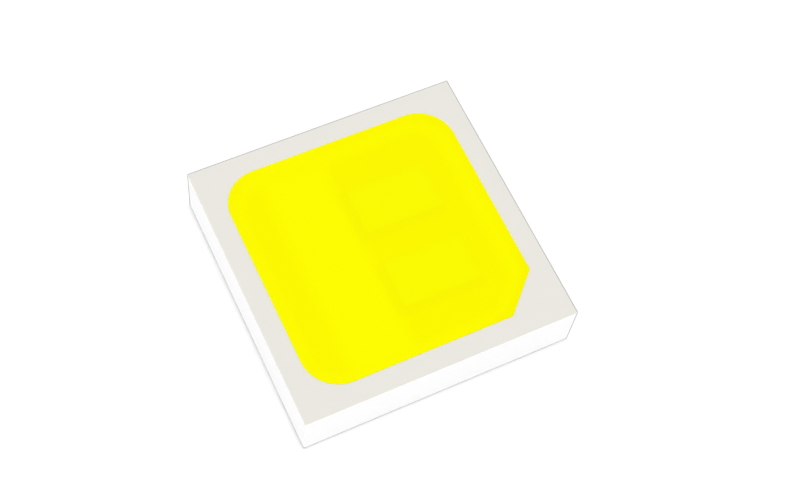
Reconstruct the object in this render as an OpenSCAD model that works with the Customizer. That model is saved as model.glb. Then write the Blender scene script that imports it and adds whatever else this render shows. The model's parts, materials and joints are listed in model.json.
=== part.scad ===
// A surface-mount light-emitting diode, all sizes in millimetres. A white moulding is cast round two
// half-etched leads and forms a square cup with leaning walls. Two dice stand on the large lead, side by
// side in the circuit, and a yellow phosphor silicone fills the cup up to the rim.
// Origin: centre of the solder side. +Z points out of the light face, +X towards the large lead's side.

/* [Package] */
// Side of the square moulding
body_size = 3; // [2.6:0.05:3.6]
// Height from the solder pads to the light face
body_h = 0.65; // [0.6:0.05:1]

/* [Reflector cup] */
// Width of the white rim round the cup's square mouth in the light face
rim_w = 0.225; // [0.15:0.005:0.3]
// Radius of the mouth's three round corners
mouth_r = 0.4; // [0.25:0.05:0.6]
// Legs of the polarity chamfer across the mouth's fourth corner
mark_leg = 0.4; // [0.3:0.05:0.6]
// How far each wall leans in on its way from the mouth down to the floor
wall_lean = 0.17; // [0.1:0.01:0.22]

/* [Leads] */
// Thickness of the lead sheet, which is also the height of the cup's floor
lead_t = 0.2; // [0.16:0.01:0.3]
// Depth of the steps etched into the sheet, measured from its solder side
etch_depth = 0.1; // [0.06:0.01:0.14]
// From the moulding's sides to the nearest edges of the solder pads
pad_margin = 0.26; // [0.2:0.01:0.4]
// How far a lead's upper half runs on past its pad under the cup's wall
lock_reach = 0.1; // [0.08:0.01:0.16]
// Width of the small solder pad
small_pad_w = 0.56; // [0.5:0.02:0.7]
// Gap between the two solder pads
pad_gap = 0.46; // [0.36:0.02:0.6]
// Width of the small lead that lies bare in the cup's floor
bare_strip_w = 0.275; // [0.2:0.01:0.34]
// Radius of the leads' corners
lead_r = 0.06; // [0.02:0.01:0.1]
// Legs of the chamfer on the large lead under the polarity chamfer
lead_chamfer = 0.2; // [0.1:0.02:0.3]
// Width of the half-round notches that key the leads into the moulding
notch_w = 0.14; // [0.1:0.02:0.16]
// Distance from notch to notch
notch_pitch = 0.8; // [0.4:0.05:0.95]

/* [Dice] */
// Length of a die, along the wires
die_l = 0.89; // [0.8:0.01:0.96]
// Width of a die
die_w = 0.56; // [0.45:0.01:0.7]
// Thickness of a die's sapphire
die_h = 0.15; // [0.1:0.01:0.2]
// Distance between the centres of the two dice
die_pitch = 0.9; // [0.75:0.01:1.1]
// From the near ends of the dice to the white bridge between the leads
die_setback = 0.07; // [0.04:0.01:0.12]
// From the far ends of the dice to the foot of the cup's wall, room for the negative stitches
die_end_room = 0.265; // [0.22:0.01:0.34]
// Thickness of the glue under a die
glue_t = 0.01; // [0.006:0.002:0.02]
// How far the glue spreads past the die's edges
glue_spread = 0.015; // [0.005:0.005:0.03]
// Thickness of the light-making layer on the sapphire
layer_t = 0.006; // [0.004:0.001:0.01]
// Width of the bare sapphire street round the light-making layer
street_w = 0.012; // [0.008:0.002:0.02]
// Room round the negative contact where the light-making layer is etched away
trench_room = 0.01; // [0.006:0.002:0.016]

/* [Contacts] */
// Diameter of a bond pad on a die
bond_pad_d = 0.09; // [0.08:0.005:0.11]
// From a die's end to the centre of its bond pad
bond_pad_in = 0.1; // [0.08:0.01:0.14]
// Thickness of the gold of pads and fingers
gold_t = 0.004; // [0.003:0.0005:0.005]
// Width of the gold fingers
finger_w = 0.01; // [0.008:0.001:0.014]
// From a die's centre line to each positive finger
finger_off = 0.17; // [0.14:0.01:0.19]
// Length of a finger from the centre of its pad
finger_l = 0.56; // [0.4:0.02:0.58]

/* [Bond wires] */
// Diameter of the gold wire
wire_d = 0.025; // [0.018:0.001:0.03]
// Diameter of the squashed ball on a bond pad
ball_d = 0.07; // [0.05:0.005:0.075]
// Height of the squashed ball
ball_h = 0.022; // [0.016:0.002:0.03]
// Height of the loops over the bond pads
loop_h = 0.1; // [0.07:0.01:0.15]
// From the foot of the cup's wall to the ends of the stitches
stitch_clear = 0.05; // [0.03:0.01:0.08]
// Length of the stitch pressed on a lead
stitch_l = 0.08; // [0.05:0.01:0.1]
// Width of the stitch
stitch_w = 0.045; // [0.035:0.005:0.06]
// Thickness of the stitch
stitch_t = 0.009; // [0.006:0.001:0.012]

/* [Hidden] */
$fn = 48;

// Cutters run this far past the faces that they open
past = 0.1;
// Sides of a bond wire, and rings along its loop
wire_sides = 8;
wire_rings = 14;
// Corners of the mouth that are round, as quarter turns from the back right one
round_corners = [0, 90, 180];

// The cup's mouth, and its floor up and out to the foot of the walls
mouth_size = body_size - 2 * rim_w;
floor_z = lead_t;
cup_depth = body_h - floor_z;
floor_edge = mouth_size / 2 - wall_lean;
// Solder pads and the leads' outer edges, along X
pad_out = body_size / 2 - pad_margin;
lead_out = pad_out + lock_reach;
small_pad_in = small_pad_w - pad_out;
large_pad_in = small_pad_in + pad_gap;
// Dice along X, and the two edges of the white bridge in the floor
die_x = floor_edge - die_end_room - die_l / 2;
small_floor_in = bare_strip_w - floor_edge;
large_floor_in = die_x - die_l / 2 - die_setback;
// Levels of a die
die_z = floor_z + glue_t;
layer_z = die_z + die_h;
contact_z = layer_z + layer_t;
// Wires along X
bond_x = die_l / 2 - bond_pad_in;
stitch_end = floor_edge - stitch_clear;

// How far the walls have leaned in at a height, from their place at the mouth
function lean_at(z) = wall_lean * (body_h - z) / cup_depth;
// Half the cup's width, its corner radius and its chamfer's distance from the axis at a height
function half_at(z) = mouth_size / 2 - lean_at(z);
function radius_at(z) = mouth_r - lean_at(z);
function mark_at(z) = (mouth_size - mark_leg) / sqrt(2) - lean_at(z);

// Slot with two leaning walls, along Y, as long as the mouth
module leaning_slot(top) {
    rotate([90, 0, 0])
    linear_extrude(mouth_size + 2 * past, center = true)
    polygon([
        [-half_at(floor_z), floor_z],
        [half_at(floor_z), floor_z],
        [half_at(top), top],
        [-half_at(top), top]
    ]);
}

// Everything outside the chamfer of the fourth corner, at front right
module beyond_mark(top) {
    rotate([90, 0, -45])
    linear_extrude(mouth_size, center = true)
    polygon([
        [mark_at(floor_z - past), floor_z - past],
        [mouth_size, floor_z - past],
        [mouth_size, top + past],
        [mark_at(top + past), top + past]
    ]);
}

// The space inside the cup's walls, from its floor up to a height
module cup_space(top) {
    corner = mouth_size / 2 - mouth_r;
    difference() {
        intersection() {
            leaning_slot(top);
            rotate([0, 0, 90]) leaning_slot(top);
        }
        for (turn = round_corners)
            rotate([0, 0, turn])
            translate([corner, corner, floor_z - past])
            cube([mouth_size, mouth_size, cup_depth + 3 * past]);
        beyond_mark(top);
    }
    for (turn = round_corners)
        rotate([0, 0, turn])
        translate([corner, corner, 0])
        rotate_extrude(angle = 90)
        polygon([
            [0, floor_z],
            [radius_at(floor_z), floor_z],
            [radius_at(top), top],
            [0, top]
        ]);
}

// Flat outline with round corners, from its low corner to its high one
module round_plate(low, high, r) {
    size = high - low;
    translate(low + [r, 0]) square([size[0] - 2 * r, size[1]]);
    translate(low + [0, r]) square([size[0], size[1] - 2 * r]);
    for (x = [low[0] + r, high[0] - r], y = [low[1] + r, high[1] - r])
        translate([x, y]) circle(r);
}

// Row of notches along an edge that lies at +X of the origin
module edge_notches(edge, count) {
    for (i = [0:count - 1])
        translate([edge, (i - (count - 1) / 2) * notch_pitch]) circle(d = notch_w);
}

// Small lead, its solder pad running down to a height of -below
module small_lead_form(below) {
    translate([0, 0, -below])
    linear_extrude(etch_depth + below)
    round_plate([-pad_out, -pad_out], [small_pad_in, pad_out], lead_r);
    translate([0, 0, etch_depth])
    linear_extrude(lead_t - etch_depth)
    difference() {
        round_plate([-lead_out, -lead_out], [small_floor_in, lead_out], lead_r);
        rotate(180) edge_notches(lead_out, 3);
    }
}

// Large lead, its solder pad running down to a height of -below
module large_lead_form(below) {
    translate([0, 0, -below])
    linear_extrude(etch_depth + below)
    round_plate([large_pad_in, -pad_out], [pad_out, pad_out], lead_r);
    translate([0, 0, etch_depth])
    linear_extrude(lead_t - etch_depth)
    difference() {
        round_plate([large_floor_in, -lead_out], [lead_out, lead_out], lead_r);
        edge_notches(lead_out, 3);
        for (side = [-90, 90])
            translate([(large_pad_in + pad_out) / 2, 0]) rotate(side) edge_notches(lead_out, 2);
        polygon([
            [lead_out, -lead_out],
            [lead_out, lead_chamfer - lead_out],
            [lead_out - lead_chamfer, -lead_out]
        ]);
    }
}

module housing() {
    color("white")
    difference() {
        translate([-body_size / 2, -body_size / 2, 0]) cube([body_size, body_size, body_h]);
        cup_space(body_h + past);
        small_lead_form(past);
        large_lead_form(past);
    }
}

module small_lead() {
    color("gainsboro") small_lead_form(0);
}

module large_lead() {
    color("gainsboro") large_lead_form(0);
}

// Moves a piece of a die to its place on the large lead: side is 1 at the back, -1 at the front
module at_die(side, z) {
    translate([die_x, side * die_pitch / 2, z]) children();
}

// Square outline centred on the die
module die_plate(grow) {
    square([die_l + 2 * grow, die_w + 2 * grow], center = true);
}

module glue(side) {
    color("ivory") at_die(side, floor_z) linear_extrude(glue_t) die_plate(glue_spread);
}

// Negative contact: a pad at the die's far end and one finger down the middle
module negative_outline(room) {
    translate([bond_x, 0]) circle(d = bond_pad_d + 2 * room);
    translate([bond_x - finger_l - room, -finger_w / 2 - room])
    square([finger_l + room, finger_w + 2 * room]);
}

// Positive contact: a pad at the near end, a bar across and a finger along each side
module positive_outline() {
    translate([-bond_x, 0]) circle(d = bond_pad_d);
    translate([-bond_x - finger_w / 2, -finger_off - finger_w / 2])
    square([finger_w, 2 * finger_off + finger_w]);
    for (y = [-finger_off, finger_off])
        translate([-bond_x, y - finger_w / 2]) square([finger_l, finger_w]);
}

module die(side) {
    color("lightsteelblue")
    at_die(side, die_z) {
        linear_extrude(die_h) die_plate(0);
        translate([0, 0, die_h])
        linear_extrude(layer_t)
        difference() {
            die_plate(-street_w);
            negative_outline(trench_room);
        }
    }
}

module positive_contact(side) {
    color("gold") at_die(side, contact_z) linear_extrude(gold_t) positive_outline();
}

module negative_contact(side) {
    color("gold") at_die(side, layer_z) linear_extrude(gold_t) negative_outline(0);
}

// Squashed ball at the foot of a wire, with the shoulder that it draws up into the wire
module wire_ball() {
    rim = ball_d / 2;
    foot = rim - ball_h / 6;
    rotate_extrude()
    polygon([
        [0, 0],
        [foot, 0],
        [rim, ball_h / 4],
        [rim, ball_h / 2],
        [foot, ball_h * 2 / 3],
        [wire_d / 2, ball_h],
        [0, ball_h]
    ]);
}

// Point of a curve from a to d that leaves towards b and arrives from c, and its direction there
function curve_at(a, b, c, d, t) =
    pow(1 - t, 3) * a + 3 * pow(1 - t, 2) * t * b + 3 * (1 - t) * t * t * c + pow(t, 3) * d;
function direction_at(a, b, c, d, t) =
    let (v = pow(1 - t, 2) * (b - a) + 2 * (1 - t) * t * (c - b) + t * t * (d - c)) v / norm(v);

// Direction midway between two others
function halfway(a, b) = (a + b) / norm(a + b);

// Ring of a wire at a point of the XZ plane, across a direction, with its half height and half width
function wire_ring(at, along, half_t, half_w) = [
    for (i = [0:wire_sides - 1])
    let (turn = 360 * (i + 0.5) / wire_sides)
    let (up = half_t * sin(turn) / cos(180 / wire_sides))
    let (out = half_w * cos(turn) / cos(180 / wire_sides))
    [at[0] - along[1] * up, out, at[1] + along[0] * up]
];

// Wire from its ball over a loop towards +X, clear of the die's end, down to a stitch pressed flat on
// a lead that lies drop below the ball's foot; the stitch ends at a distance from the ball
module bond_wire(distance, drop) {
    r = wire_d / 2;
    heel = [distance - stitch_l, r - drop];
    toe = [distance, stitch_t / 2 - drop];
    start = [0, ball_h * 2 / 3];
    rise = [0, 2 * loop_h];
    shoulder = [(bond_pad_in + heel[0]) / 2, loop_h];
    loop = [
        for (i = [0:wire_rings - 1])
        let (t = i / (wire_rings - 1))
        let (along = direction_at(start, rise, shoulder, heel, t))
        wire_ring(curve_at(start, rise, shoulder, heel, t), t < 1 ? along : halfway(along, [1, 0]), r, r)
    ];
    stitch = [
        wire_ring(toe - [stitch_l * 2 / 3, 0], [1, 0], stitch_t / 2, stitch_w / 2),
        wire_ring(toe, [1, 0], stitch_t / 2, stitch_w / 2)
    ];
    rings = concat(loop, stitch);
    last = len(rings) - 1;
    polyhedron(
        points = [for (ring = rings) for (p = ring) p],
        faces = concat(
            [[for (i = [0:wire_sides - 1]) i]],
            [[for (i = [wire_sides - 1:-1:0]) last * wire_sides + i]],
            [for (k = [0:last - 1], i = [0:wire_sides - 1])
                let (next = (i + 1) % wire_sides, low = k * wire_sides, high = low + wire_sides)
                [low + i, high + i, high + next]],
            [for (k = [0:last - 1], i = [0:wire_sides - 1])
                let (next = (i + 1) % wire_sides, low = k * wire_sides, high = low + wire_sides)
                [low + i, high + next, low + next]]
        )
    );
    wire_ball();
}

// Wire from a die's near pad back over the white bridge to the small lead
module positive_wire(side) {
    foot_z = contact_z + gold_t;
    color("gold")
    translate([die_x - bond_x, side * die_pitch / 2, foot_z])
    mirror([1, 0, 0])
    bond_wire(die_x - bond_x + stitch_end, foot_z - floor_z);
}

// Wire from a die's far pad down to the large lead
module negative_wire(side) {
    foot_z = layer_z + gold_t;
    color("gold")
    translate([die_x + bond_x, side * die_pitch / 2, foot_z])
    bond_wire(stitch_end - die_x - bond_x, foot_z - floor_z);
}

module phosphor_fill() {
    color("yellow")
    difference() {
        cup_space(body_h);
        for (side = [-1, 1]) {
            glue(side);
            die(side);
            positive_contact(side);
            negative_contact(side);
            positive_wire(side);
            negative_wire(side);
        }
    }
}

housing();
small_lead();
large_lead();
glue(1);  // glue_back
glue(-1);  // glue_front
die(1);  // die_back
die(-1);  // die_front
positive_contact(1);  // positive_contact_back
positive_contact(-1);  // positive_contact_front
negative_contact(1);  // negative_contact_back
negative_contact(-1);  // negative_contact_front
positive_wire(1);  // positive_wire_back
positive_wire(-1);  // positive_wire_front
negative_wire(1);  // negative_wire_back
negative_wire(-1);  // negative_wire_front
phosphor_fill();
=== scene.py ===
import json
import math

import bmesh
import bpy
from mathutils import Matrix, Vector


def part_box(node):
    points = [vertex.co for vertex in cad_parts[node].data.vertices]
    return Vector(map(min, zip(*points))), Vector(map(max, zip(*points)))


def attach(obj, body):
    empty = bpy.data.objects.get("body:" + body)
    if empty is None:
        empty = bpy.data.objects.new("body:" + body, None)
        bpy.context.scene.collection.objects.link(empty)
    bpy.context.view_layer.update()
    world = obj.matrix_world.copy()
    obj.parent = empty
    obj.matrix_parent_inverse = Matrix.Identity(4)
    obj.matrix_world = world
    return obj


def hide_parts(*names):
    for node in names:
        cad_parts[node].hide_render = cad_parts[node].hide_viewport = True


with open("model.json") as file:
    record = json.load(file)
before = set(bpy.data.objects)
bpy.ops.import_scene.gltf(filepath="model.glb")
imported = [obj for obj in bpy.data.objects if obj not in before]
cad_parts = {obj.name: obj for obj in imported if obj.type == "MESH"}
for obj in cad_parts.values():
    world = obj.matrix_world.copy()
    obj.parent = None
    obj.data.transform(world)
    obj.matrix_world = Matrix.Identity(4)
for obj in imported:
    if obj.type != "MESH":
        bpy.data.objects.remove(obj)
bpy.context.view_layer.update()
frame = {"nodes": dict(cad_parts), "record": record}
mm = 0.001  # meshes are made in millimetres and then brought to metres


def inMillimetres(node):
    low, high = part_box(node)
    return low / mm, high / mm


print("camera")

# Place, aim and tilt that lay the body's corners over those in the picture
cameraSettings = {
    "place": (-3.9526, -6.1477, 14.6961),  # millimetres
    "forward": (0.25699, 0.38001, -0.88857),
    "right": (0.90048, -0.42796, 0.07741),
    "focalPixels": 1555.7,
    "picturePixels": 792,
    "sensor": 36,
    "clip": (1, 1000),
}


def makeCamera(s):
    data = bpy.data.cameras.new("camera")
    data.sensor_width = s["sensor"]
    data.lens = s["focalPixels"] / s["picturePixels"] * s["sensor"]
    data.clip_start = s["clip"][0] * mm
    data.clip_end = s["clip"][1] * mm
    camera = bpy.data.objects.new("camera", data)
    bpy.context.scene.collection.objects.link(camera)
    forward = Vector(s["forward"]).normalized()
    right = Vector(s["right"])
    right = (right - right.dot(forward) * forward).normalized()
    up = right.cross(forward)
    turn = Matrix((right, up, -forward)).transposed()
    camera.matrix_world = Matrix.Translation(Vector(s["place"]) * mm) @ turn.to_4x4()
    bpy.context.scene.camera = camera


makeCamera(cameraSettings)


topLight = 1.187  # how much of a white sheet's light the studio gives on a level face
sideLight = 1.36  # and on the walls, with what the floor sends back


def seenAs(red, green, blue, light=topLight):  # the paint that shows as this screen colour, 0 to 255
    paint = []
    for level in (red, green, blue):
        v = level / 255
        v = v / 12.92 if v <= 0.04045 else ((v + 0.055) / 1.055) ** 2.4
        paint.append(v / light)
    return (*paint, 1)


class Link:  # an output of a node, so that shader maths reads as sums
    def __init__(self, finish, socket):
        self.finish = finish
        self.socket = socket

    def maths(self, operation, *others):
        sockets = dict(enumerate((self, *others)))
        return self.finish.add("ShaderNodeMath", {"operation": operation}, sockets)

    def flipped(self, operation, other):
        return self.finish.add("ShaderNodeMath", {"operation": operation}, {0: other, 1: self})

    def __add__(self, other):
        return self.maths("ADD", other)

    def __radd__(self, other):
        return self.maths("ADD", other)

    def __sub__(self, other):
        return self.maths("SUBTRACT", other)

    def __rsub__(self, other):
        return self.flipped("SUBTRACT", other)

    def __mul__(self, other):
        return self.maths("MULTIPLY", other)

    def __rmul__(self, other):
        return self.maths("MULTIPLY", other)

    def __neg__(self):
        return self.maths("MULTIPLY", -1)

    def __abs__(self):
        return self.maths("ABSOLUTE")

    def least(self, other):
        return self.maths("MINIMUM", other)

    def most(self, other):
        return self.maths("MAXIMUM", other)

    def within(self, width):  # 1 where the value is below 0, fading to 0 over a width about it
        ends = {"Value": self, "From Min": -width / 2, "From Max": width / 2, "To Min": 1, "To Max": 0}
        return self.finish.add("ShaderNodeMapRange", {"interpolation_type": "SMOOTHSTEP"}, ends)


class Finish:  # a node tree while it is being built
    def __init__(self, tree):
        self.tree = tree

    def plug(self, value, socket):
        if isinstance(value, Link):
            self.tree.links.new(value.socket, socket)
        else:
            socket.default_value = value

    def add(self, kind, settings, sockets, out=0):
        node = self.tree.nodes.new(kind)
        for key, value in settings.items():
            setattr(node, key, value)
        for key, value in sockets.items():
            self.plug(value, node.inputs[key])
        return Link(self, node.outputs[out]) if node.outputs else None

    def mixed(self, amount, first, second, blend="MIX"):  # 6 and 7 are the Mix node's colour sockets
        kind = {"data_type": "RGBA", "clamp_factor": True, "blend_type": blend}
        return self.add("ShaderNodeMix", kind, {0: amount, 6: first, 7: second}, out=2)

    def place(self):  # where a point of the surface lies, in millimetres
        metres = self.add("ShaderNodeTexCoord", {}, {}, out="Object")
        size = {0: metres, "Scale": 1 / mm}
        self.spot = self.add("ShaderNodeVectorMath", {"operation": "SCALE"}, size)
        return [self.add("ShaderNodeSeparateXYZ", {}, {0: self.spot}, out=i) for i in range(3)]

    def noise(self, perMillimetre, detail=2, rough=0.5, stretch=(1, 1, 1)):  # about 0 to 1
        spot = self.add("ShaderNodeVectorMath", {"operation": "MULTIPLY"}, {0: self.spot, 1: stretch})
        look = {"Vector": spot, "Scale": perMillimetre, "Detail": detail, "Roughness": rough}
        return self.add("ShaderNodeTexNoise", {"normalize": True}, look)

    def bump(self, height, depth):  # depth in millimetres
        return self.add("ShaderNodeBump", {}, {"Strength": 1, "Distance": depth * mm, "Height": height})


def newMaterial(name):
    material = bpy.data.materials.new(name)
    material.use_nodes = True
    shader = material.node_tree.nodes["Principled BSDF"]
    return material, Finish(material.node_tree), shader


print("materials")

mouldingSettings = {
    "face": seenAs(235.1, 232.9, 225.1),
    "shade": seenAs(233.3, 231.1, 223.3),  # faint cloudy patches
    "side": seenAs(254, 254, 254, sideLight),  # sawn; painted whiter and without the face's warm tint, a painted highlight that stands in for the stronger light on the walls
    "fleck": seenAs(240, 239, 234),  # filler grains at the surface
    "line": seenAs(140, 140, 140),  # painted shade: dark lines on the body's outline edges and along the foot of the walls
    "topLine": 0.008,  # widths of the painted shade lines
    "rightLine": 0.013,
    "leftLine": 0.025,
    "footLine": 0.0125,
    "sideFootLine": 0.021,
    "thinner": 3,  # how much narrower an upright edge's line is on its other wall
    "lineBlur": 0.012,
    "lip": 0.006,
    "cloudsPerMm": 2.2,
    "cloudDetail": 3,
    "cloudsFrom": 0.35,
    "cloudGain": 1.6,
    "grainsPerMm": 55,
    "grainRough": 0.7,
    "grainDepth": 0.0006,
    "flecksFrom": 0.66,
    "fleckGain": 2,
    "sawPerMm": 40,
    "sawStretch": (0.05, 0.05, 1),
    "sawDepth": 0.0008,
    "roughness": 0.62,
    "roughnessSpread": 0.16,
    "shine": 0.12,
}


def makeMoulding(s):
    material, f, shader = newMaterial("white_moulding")
    x, y, z = f.place()
    low, high = inMillimetres("housing")
    clouds = f.noise(s["cloudsPerMm"], detail=s["cloudDetail"])
    grains = f.noise(s["grainsPerMm"], rough=s["grainRough"])
    colour = f.mixed((clouds - s["cloudsFrom"]) * s["cloudGain"], s["face"], s["shade"])
    colour = f.mixed((grains - s["flecksFrom"]) * s["fleckGain"], colour, s["fleck"])
    # Painted shade: dark lines along the foot of the walls and along their edges away from the corner in
    # front
    toRight = high.x - x
    toLeft = x - low.x
    toBack = high.y - y
    toFront = y - low.y
    toTop = high.z - z
    toFoot = z - low.z
    toWall = toRight.least(toLeft).least(toBack).least(toFront)
    lineMasks = [
        toTop.most(toRight.least(toBack)) - s["topLine"],
        toFront.least(toBack).most(toFoot) - s["footLine"],
        toLeft.least(toRight).most(toFoot) - s["sideFootLine"],
        (toRight.most(toFront * s["thinner"]) - s["rightLine"]).most(s["lip"] - toTop),
        (toBack.most(toLeft * s["thinner"]) - s["leftLine"]).most(s["lip"] - toTop),
    ]
    edges = lineMasks[0]
    for mask in lineMasks[1:]:
        edges = edges.least(mask)
    # Saw marks run level round the sides; the light face keeps the mould's fine grain
    saw = f.noise(s["sawPerMm"], stretch=s["sawStretch"])
    onSides = 1 - (toTop - s["lip"]).within(s["lip"])
    outside = (toWall - s["lip"]).within(s["lip"])
    # Painted highlight: the walls take a whiter, untinted paint than the light face
    colour = f.mixed(onSides * outside, colour, s["side"])
    # Painted shade lines darken the outline edges and the foot
    line = edges.within(s["lineBlur"])
    colour = f.mixed(line, colour, s["line"])
    height = grains * s["grainDepth"] + saw * onSides * s["sawDepth"]
    f.plug(colour, shader.inputs["Base Color"])
    f.plug((grains - 0.5) * s["roughnessSpread"] + s["roughness"], shader.inputs["Roughness"])
    f.plug(f.bump(height, 1), shader.inputs["Normal"])
    shader.inputs["Specular IOR Level"].default_value = s["shine"]
    return material


mouldingFinish = makeMoulding(mouldingSettings)

mouthSettings = {
    "radius": 0.4,
    "chamfer": 0.4,
    "lean": 0.17,
}

# What shows dimly through the phosphor: places and widths in millimetres, and tones from bright to gold
underSettings = {
    "bright": seenAs(254, 252.8, 0.4),
    "deepGold": seenAs(250.6, 243, 0.4),
    "fullTone": 2,  # the tone that shows as deep gold
    "greenTint": (0.975, 0.977, 6, 1),
    "floorLow": (-1.15, -1.16),
    "floorHigh": (1.06, 1.055),
    "floorRadius": 0.25,
    "floorMark": 1.3556,
    "floorBlur": 0.11,
    "farBlur": 0.055,  # the walls that face the viewer show wider
    "farFrom": (0.45, 0.95),
    "leadTone": 1.06,
    "smallLeadTo": -0.865,
    "largeLeadFrom": -0.165,
    "leadBlur": 0.2,
    "bandTone": 0.1,
    "bandWallTone": 0.24,
    # the wall, rim and chamfer-mark tones are painted light and shade on the cup's walls
    "wallTone": 0.46,
    "farWallTone": 0.24,
    "rimTone": 0.5,
    "rimBand": 0.085,
    "rimBlur": 0.09,
    "markTone": 0.62,
    "markBand": 0.065,
    "markBlur": 0.05,
    "spotTone": 0.4,
    "spotWidth": 0.035,
    "spots": ((0.95, 1.16), (1.09, 1.11), (1.135, 1.065), (1.175, 1.02), (-1.09, 1.1)),
    "dieLows": ((-0.082, 0.146), (-0.082, -0.754)),
    "dieSize": (0.876, 0.538),
    "dieRadius": 0.035,
    "dieBlur": 0.07,
    "dieRimTone": 0.2,
    "dieRimBand": 0.05,
    # the dice's flanks and outlines are painted shade
    "dieFlank": (0.095, 0.092),
    "dieOutline": 0.02,
    "flankFade": 0.3333,  # where in a flank's width its shade sets in
    "flankBlur": 0.05,
    "frontTone": -0.02,
    "sideTone": -0.37,
    "outlineTone": 1.0,
    "flankGreen": 0.85,
    "topGreen": 0.92,
}
fillSettings = {
    "grainsPerMm": 34,
    "grainRough": 0.6,
    "grainTone": 0.3,
    "reliefPerMm": 26,
    "reliefDetail": 3,
    "reliefDepth": 0.0009,
    "roughness": 0.55,
    "roughnessSpread": 0.2,
    "shine": 0.008,
}


def boxDistance(x, y, low, high, radius):  # how far outside a round-cornered box a point lies
    halfX = (high[0] - low[0]) / 2
    halfY = (high[1] - low[1]) / 2
    awayX = abs(x - (low[0] + halfX)) - (halfX - radius)
    awayY = abs(y - (low[1] + halfY)) - (halfY - radius)
    outX = awayX.most(0)
    outY = awayY.most(0)
    outside = (outX * outX + outY * outY).maths("SQRT")
    return outside + awayX.most(awayY).least(0) - radius


def floorWithin(floor, farSide, u):  # 1 over the cup's floor; the far walls' foot fades wider
    near = floor.within(u["floorBlur"])
    wide = floor.within(u["floorBlur"] + u["farBlur"])
    return near * (1 - farSide) + wide * farSide


def makePhosphor(s, u, m):
    material, f, shader = newMaterial("phosphor")
    x, y = f.place()[:2]
    low, high = inMillimetres("phosphor_fill")
    diagonal = (x - y) * math.sqrt(0.5)
    rim = boxDistance(x, y, low, high, m["radius"])
    rim = rim.most(diagonal - (high.x - low.y - m["chamfer"]) * math.sqrt(0.5))
    floor = boxDistance(x, y, u["floorLow"], u["floorHigh"], u["floorRadius"])
    floor = floor.most(diagonal - u["floorMark"])
    edge = -rim  # how far in from the rim
    far = u["farFrom"]
    middle = sum(far) / 2
    farSide = 1 - (x.most(y) - middle).within(far[1] - far[0])
    onFloor = floorWithin(floor, farSide, u)
    # Leads: golden where their metal lies bare in the floor, with the pale band of moulding between
    blur = u["leadBlur"]
    lead = (x - u["smallLeadTo"]).within(blur).most((u["largeLeadFrom"] - x).within(blur))
    # Walls: painted light and shade; paler on the far sides, which face the light, and there darker again
    # up at the rim
    wall = farSide * (u["farWallTone"] - u["wallTone"]) + u["wallTone"]
    wall = wall + (edge - u["rimBand"]).within(u["rimBlur"]) * farSide * u["rimTone"]
    # Painted shade: a darker band up the wall by the chamfer
    mark = (u["floorMark"] - diagonal).within(u["markBlur"])
    wall = wall + (edge - u["markBand"]).within(u["markBand"] * 2) * mark * u["markTone"]
    overLead = onFloor * u["leadTone"] + (1 - onFloor) * wall
    overBand = onFloor * u["bandTone"] + (1 - onFloor) * u["bandWallTone"]
    gold = lead * overLead + (1 - lead) * overBand
    for spotX, spotY in u["spots"]:
        spot = ((x - spotX) * (x - spotX) + (y - spotY) * (y - spotY)).maths("SQRT")
        gold = gold + (spot - u["spotWidth"]).within(u["spotWidth"] * 2) * u["spotTone"]
    # Dice: greenish tops, and painted shade on the flanks towards the viewer, darkest there
    green = None
    for dieLow in u["dieLows"]:
        dieHigh = [dieLow[i] + u["dieSize"][i] for i in range(2)]
        flankLow = [dieLow[i] - u["dieFlank"][i] for i in range(2)]
        away = boxDistance(x, y, dieLow, dieHigh, u["dieRadius"])
        top = away.within(u["dieBlur"])
        flankHigh = [high + u["dieOutline"] for high in dieHigh]
        block = boxDistance(x, y, flankLow, flankHigh, u["dieRadius"] * 2).within(u["flankBlur"])
        flank = block * (1 - top)
        shadeFrom = [dieLow[i] - u["dieFlank"][i] * u["flankFade"] for i in range(2)]
        toSide = (x - shadeFrom[0]).within(u["dieFlank"][0])
        inFront = (y - shadeFrom[1]).within(u["dieFlank"][1])
        rimOfTop = top * (1 - (away + u["dieRimBand"]).within(u["dieRimBand"] * 2))
        gold = gold * (1 - top) + rimOfTop * u["dieRimTone"]
        flankTone = inFront * u["frontTone"] + toSide * u["sideTone"] + u["outlineTone"]
        gold = gold + flank * (flankTone - gold)
        whole = boxDistance(x, y, flankLow, dieHigh, u["dieRadius"]).within(u["flankBlur"])
        tint = (whole * u["flankGreen"]).most(top * u["topGreen"])
        green = tint if green is None else green.most(tint)
    grains = f.noise(s["grainsPerMm"], rough=s["grainRough"])
    gold = gold + (grains - 0.5) * s["grainTone"]
    colour = f.mixed(gold * (1 / u["fullTone"]), u["bright"], u["deepGold"])
    colour = f.mixed(green, colour, u["greenTint"], blend="MULTIPLY")
    relief = f.noise(s["reliefPerMm"], detail=s["reliefDetail"], rough=s["grainRough"])
    f.plug(colour, shader.inputs["Base Color"])
    f.plug((grains - 0.5) * s["roughnessSpread"] + s["roughness"], shader.inputs["Roughness"])
    f.plug(f.bump(relief * s["reliefDepth"], 1), shader.inputs["Normal"])
    shader.inputs["Specular IOR Level"].default_value = s["shine"]
    return material


phosphorFinish = makePhosphor(fillSettings, underSettings, mouthSettings)

metalSettings = {
    "plated_lead": {
        "bright": (0.79, 0.78, 0.76, 1),
        "dull": (0.64, 0.63, 0.61, 1),
        "roughness": 0.3,
        "linesPerMm": 26,
        "stretch": (0.06, 1, 1),  # the strip was rolled along X
        "depth": 0.0014,
        "pitsPerMm": 60,
    },
    "gold": {
        "bright": (0.93, 0.7, 0.3, 1),
        "dull": (0.8, 0.56, 0.2, 1),
        "roughness": 0.22,
        "linesPerMm": 90,
        "stretch": (1, 1, 1),
        "depth": 0.0003,
        "pitsPerMm": 200,
    },
}
metalShares = {  # of the rolled lines and of the pits
    "tone": (2.2, 0.8),
    "middleTone": 0.4,
    "roughness": (0.3, 0.1),
    "height": (0.6, 0.4),
    "lineDetail": 4,
    "lineRough": 0.65,
}


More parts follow.
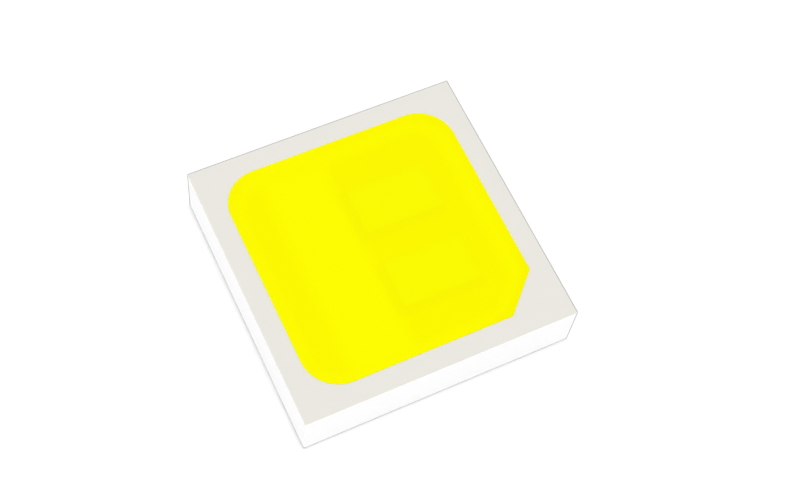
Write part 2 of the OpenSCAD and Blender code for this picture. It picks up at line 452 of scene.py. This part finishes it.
def makeMetal(name, s):
    material, f, shader = newMaterial(name)
    f.place()
    m = metalShares
    lines = f.noise(s["linesPerMm"], m["lineDetail"], m["lineRough"], s["stretch"])
    pits = f.noise(s["pitsPerMm"])
    lineTone, pitTone = m["tone"]
    lineRough, pitRough = m["roughness"]
    lineHeight, pitHeight = m["height"]
    tone = (lines - 0.5) * lineTone + (pits - 0.5) * pitTone + m["middleTone"]
    roughness = (lines - 0.5) * lineRough + (pits - 0.5) * pitRough + s["roughness"]
    f.plug(f.mixed(tone, s["bright"], s["dull"]), shader.inputs["Base Color"])
    f.plug(roughness, shader.inputs["Roughness"])
    f.plug(f.bump(lines * lineHeight + pits * pitHeight, s["depth"]), shader.inputs["Normal"])
    shader.inputs["Metallic"].default_value = 1
    return material


metalFinishes = {name: makeMetal(name, s) for name, s in metalSettings.items()}

clearSettings = {
    "sapphire": {
        "core": seenAs(176, 196, 222),
        "edge": seenAs(120, 146, 196),
        "roughness": 0.12,
        "cloudsPerMm": 6,
        "roughnessSpread": 0.08,
    },
    "die_glue": {
        "core": seenAs(236, 234, 216),
        "edge": seenAs(222, 218, 190),
        "roughness": 0.3,
        "cloudsPerMm": 6,
        "roughnessSpread": 0.08,
    },
}


def makeClear(name, s):
    material, f, shader = newMaterial(name)
    f.place()
    clouds = f.noise(s["cloudsPerMm"])
    f.plug(f.mixed(clouds, s["core"], s["edge"]), shader.inputs["Base Color"])
    f.plug(clouds * s["roughnessSpread"] + s["roughness"], shader.inputs["Roughness"])
    return material


clearFinishes = {name: makeClear(name, s) for name, s in clearSettings.items()}

print("pieces")


def mouthOutline(half, radius, cut, arcSteps):  # three round corners and a chamfer at front right
    points = []
    centre = half - radius
    for quarter in range(3):
        turn = quarter * math.pi / 2
        for step in range(arcSteps + 1):
            angle = turn + step / arcSteps * math.pi / 2
            middle = (
                centre * (math.cos(turn) - math.sin(turn)),
                centre * (math.sin(turn) + math.cos(turn)),
            )
            points.append((middle[0] + radius * math.cos(angle), middle[1] + radius * math.sin(angle)))
    points.append((cut * math.sqrt(2) - half, -half))
    points.append((half, half - cut * math.sqrt(2)))
    return points


def ringAt(mesh, points, z):
    return [mesh.verts.new((x, y, z)) for x, y in points]


def skinBetween(mesh, lower, upper):
    count = len(lower)
    for i in range(count):
        j = (i + 1) % count
        mesh.faces.new((lower[i], lower[j], upper[j], upper[i]))


def objectFrom(name, mesh):
    data = bpy.data.meshes.new(name)
    mesh.to_mesh(data)
    mesh.free()
    thing = bpy.data.objects.new(name, data)
    bpy.context.scene.collection.objects.link(thing)
    return thing


smoothBelow = math.radians(12)
weldWithin = 0.0001  # points nearer than this become one


def finishedPiece(name, mesh, finish, nodes):
    bmesh.ops.recalc_face_normals(mesh, faces=mesh.faces)
    piece = objectFrom(name, mesh)
    piece.data.transform(Matrix.Scale(mm, 4))
    piece.data.materials.append(finish)
    piece.data.shade_smooth()
    piece.data.set_sharp_from_angle(angle=smoothBelow)
    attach(piece, "root")
    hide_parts(*nodes)
    return piece


def solidMesh(node):  # a copy of a node's own mesh, in millimetres
    mesh = bmesh.new()
    mesh.from_mesh(frame["nodes"][node].data)
    bmesh.ops.scale(mesh, vec=(1 / mm,) * 3, verts=mesh.verts)
    bmesh.ops.remove_doubles(mesh, verts=mesh.verts, dist=weldWithin)
    return mesh


housingSettings = {
    "edgeRadius": 0.006,
    "edgeSteps": 3,
    "lipRadius": 0.005,
    "lipSteps": 4,
    "past": 0.1,  # how far a cutter runs out past the face it opens
    "footReach": 0.001,  # points this near a lead's solder side belong to it
}


def outlineAt(m, half, height, top, depth, grow=0):  # the cup's outline at a height below its mouth
    lean = m["lean"] * (top - height) / depth - grow
    cut = (2 * half - m["chamfer"]) * math.sqrt(0.5) - lean
    return half - lean, m["radius"] - lean, cut


def scratchObject(name, mesh):
    bmesh.ops.recalc_face_normals(mesh, faces=mesh.faces)
    return objectFrom(name, mesh)


def bodyBlock(s):
    low, high = inMillimetres("housing")
    mesh = bmesh.new()
    bmesh.ops.create_cube(mesh, size=1)
    for vertex in mesh.verts:
        vertex.co = [(low[i] if vertex.co[i] < 0 else high[i]) for i in range(3)]
    bmesh.ops.bevel(
        mesh,
        geom=mesh.edges[:],
        offset=s["edgeRadius"],
        segments=s["edgeSteps"],
        affect="EDGES",
        profile=0.5,
    )
    return scratchObject("block", mesh)


def cupCutter(s, m, arcSteps):
    low, high = inMillimetres("phosphor_fill")
    half = high.x
    top = high.z
    depth = top - low.z
    r = s["lipRadius"]
    mesh = bmesh.new()
    levels = [(low.z, 0)]
    for step in range(s["lipSteps"] + 1):
        angle = step / s["lipSteps"] * math.pi / 2
        levels.append((top - r + r * math.sin(angle), r - r * math.cos(angle)))
    levels.append((top + s["past"], r))
    rings = []
    for height, grow in levels:
        size = outlineAt(m, half, min(height, top), top, depth, grow)
        rings.append(ringAt(mesh, mouthOutline(*size, arcSteps), height))
    for lower, upper in zip(rings, rings[1:]):
        skinBetween(mesh, lower, upper)
    mesh.faces.new(rings[0])
    mesh.faces.new(rings[-1])
    return scratchObject("cup", mesh)


def leadCutter(node, s):  # a copy of the lead, its solder side pushed out below the body
    mesh = solidMesh(node)
    foot = min(vertex.co.z for vertex in mesh.verts)
    for vertex in mesh.verts:
        if vertex.co.z < foot + s["footReach"]:
            vertex.co.z = foot - s["past"]
    return scratchObject(node + "_cutter", mesh)


def makeHousing(s, m, arcSteps):
    block = bodyBlock(s)
    cutters = [cupCutter(s, m, arcSteps), leadCutter("small_lead", s), leadCutter("large_lead", s)]
    for cutter in cutters:
        cut = block.modifiers.new(cutter.name, "BOOLEAN")
        cut.object = cutter
        cut.operation = "DIFFERENCE"
        cut.solver = "EXACT"
    shaped = block.evaluated_get(bpy.context.evaluated_depsgraph_get())
    mesh = bmesh.new()
    mesh.from_mesh(shaped.to_mesh())
    for thing in [block, *cutters]:
        bpy.data.objects.remove(thing)
    bmesh.ops.remove_doubles(mesh, verts=mesh.verts, dist=weldWithin)
    bmesh.ops.dissolve_degenerate(mesh, dist=weldWithin, edges=mesh.edges)
    return finishedPiece("moulded_housing", mesh, mouldingFinish, ["housing"])


fillMeshSettings = {
    "lip": 0.001,  # the silicone meets the wall this far below the rim
    "dip": 0.006,  # and hangs this much lower in the middle
    "meniscus": 0.12,  # width of the band in which it climbs to the wall
    "bandSteps": 10,
    "middleSteps": 8,
}


def fillUnderside():  # the solid's foot with the hollows round dice and wires, its walls and top taken off
    low, high = inMillimetres("phosphor_fill")
    mesh = solidMesh("phosphor_fill")
    outer = {face for face in mesh.faces if min(v.co.z for v in face.verts) > high.z - weldWithin}
    waiting = list(outer)
    while waiting:
        for edge in waiting.pop().edges:
            if max(v.co.z for v in edge.verts) > low.z + weldWithin:
                beyond = set(edge.link_faces) - outer
                outer |= beyond
                waiting += beyond
    bmesh.ops.delete(mesh, geom=list(outer), context="FACES")
    footPoints = {v for edge in mesh.edges if edge.is_boundary for v in edge.verts}
    return mesh, (len(footPoints) - 2) // 3 - 1  # and the steps in each of its round corners


def makeFill(s, m, mesh, arcSteps):
    low, high = inMillimetres("phosphor_fill")
    half = high.x
    depth = high.z - low.z
    rimZ = high.z - s["lip"]
    foot = mouthOutline(*outlineAt(m, half, low.z, high.z, depth), arcSteps)
    rings = [ringAt(mesh, foot, low.z)]
    for step in range(s["bandSteps"] + 1):
        inset = s["meniscus"] * step / s["bandSteps"]
        sag = s["dip"] * (1 - (1 - step / s["bandSteps"]) ** 2)
        size = outlineAt(m, half, rimZ, high.z, depth, -inset)
        rings.append(ringAt(mesh, mouthOutline(*size, arcSteps), rimZ - sag))
    inner = [vertex.co.copy() for vertex in rings[-1]]
    for step in range(1, s["middleSteps"]):
        share = 1 - step / s["middleSteps"]
        rings.append([mesh.verts.new((p.x * share, p.y * share, p.z)) for p in inner])
    for lower, upper in zip(rings, rings[1:]):
        skinBetween(mesh, lower, upper)
    centre = mesh.verts.new((0, 0, inner[0].z))
    last = rings[-1]
    for i, vertex in enumerate(last):
        mesh.faces.new((vertex, last[(i + 1) % len(last)], centre))
    bmesh.ops.remove_doubles(mesh, verts=mesh.verts, dist=weldWithin)
    return finishedPiece("phosphor", mesh, phosphorFinish, ["phosphor_fill"])


underside, cornerSteps = fillUnderside()
makeHousing(housingSettings, mouthSettings, cornerSteps)
makeFill(fillMeshSettings, mouthSettings, underside, cornerSteps)

# Every other node keeps its own mesh and takes the finish of its slot
finishes = {**metalFinishes, **clearFinishes}
finishes["white_moulding"] = mouldingFinish
finishes["phosphor"] = phosphorFinish
for part in frame["record"]["subparts"]:
    node = frame["nodes"][part["node"]]
    node.data.materials.clear()
    node.data.materials.append(finishes[part["material_slot"]])

print("floor and light")

stageSettings = {
    "floorWidth": 400,
    "floorDrop": 0.002,
    "floor": (0.95, 0.95, 0.95, 1),
    "floorRoughness": 0.9,
    "overhead": 0.41,  # light from straight above
    "level": 2.5,  # light from the horizon
    "keyWatts": 0.0009,
    "keyPlace": (-8, -11, 31),
    "keyWidth": 14,
}


def makeFloor(s):
    material, f, shader = newMaterial("floor")
    shader.inputs["Base Color"].default_value = s["floor"]
    shader.inputs["Roughness"].default_value = s["floorRoughness"]
    shader.inputs["Specular IOR Level"].default_value = 0
    mesh = bmesh.new()
    half = s["floorWidth"] / 2
    corners = [(-half, -half), (half, -half), (half, half), (-half, half)]
    mesh.faces.new(ringAt(mesh, corners, -s["floorDrop"]))
    floor = objectFrom("floor", mesh)
    floor.data.transform(Matrix.Scale(mm, 4))
    floor.data.materials.append(material)


def makeWorld(s):
    world = bpy.data.worlds.new("studio")
    world.use_nodes = True
    bpy.context.scene.world = world
    tree = world.node_tree
    tree.nodes.clear()
    f = Finish(tree)
    aim = f.add("ShaderNodeTexCoord", {}, {}, out="Generated")
    upward = f.add("ShaderNodeSeparateXYZ", {}, {0: aim}, out=2)
    strength = upward.most(0) * (s["overhead"] - s["level"]) + s["level"]
    soft = f.add("ShaderNodeBackground", {}, {"Color": (1, 1, 1, 1), "Strength": strength})
    white = f.add("ShaderNodeBackground", {}, {"Color": (1, 1, 1, 1), "Strength": 1})
    straight = f.add("ShaderNodeLightPath", {}, {}, out="Is Camera Ray")
    glossy = f.add("ShaderNodeLightPath", {}, {}, out="Is Glossy Ray")
    through = f.add("ShaderNodeLightPath", {}, {}, out="Is Transmission Ray")
    seen = straight.most(glossy).most(through)
    both = f.add("ShaderNodeMixShader", {}, {0: seen, 1: soft, 2: white})
    f.add("ShaderNodeOutputWorld", {}, {0: both})


def makeKey(s):
    data = bpy.data.lights.new("key", "AREA")
    data.energy = s["keyWatts"]
    data.size = s["keyWidth"] * mm
    key = bpy.data.objects.new("key", data)
    bpy.context.scene.collection.objects.link(key)
    place = Vector(s["keyPlace"]) * mm
    key.matrix_world = Matrix.Translation(place) @ place.to_track_quat("Z", "Y").to_matrix().to_4x4()


makeFloor(stageSettings)
makeWorld(stageSettings)
makeKey(stageSettings)
bpy.context.scene.view_settings.view_transform = "Standard"

bpy.context.view_layer.update()
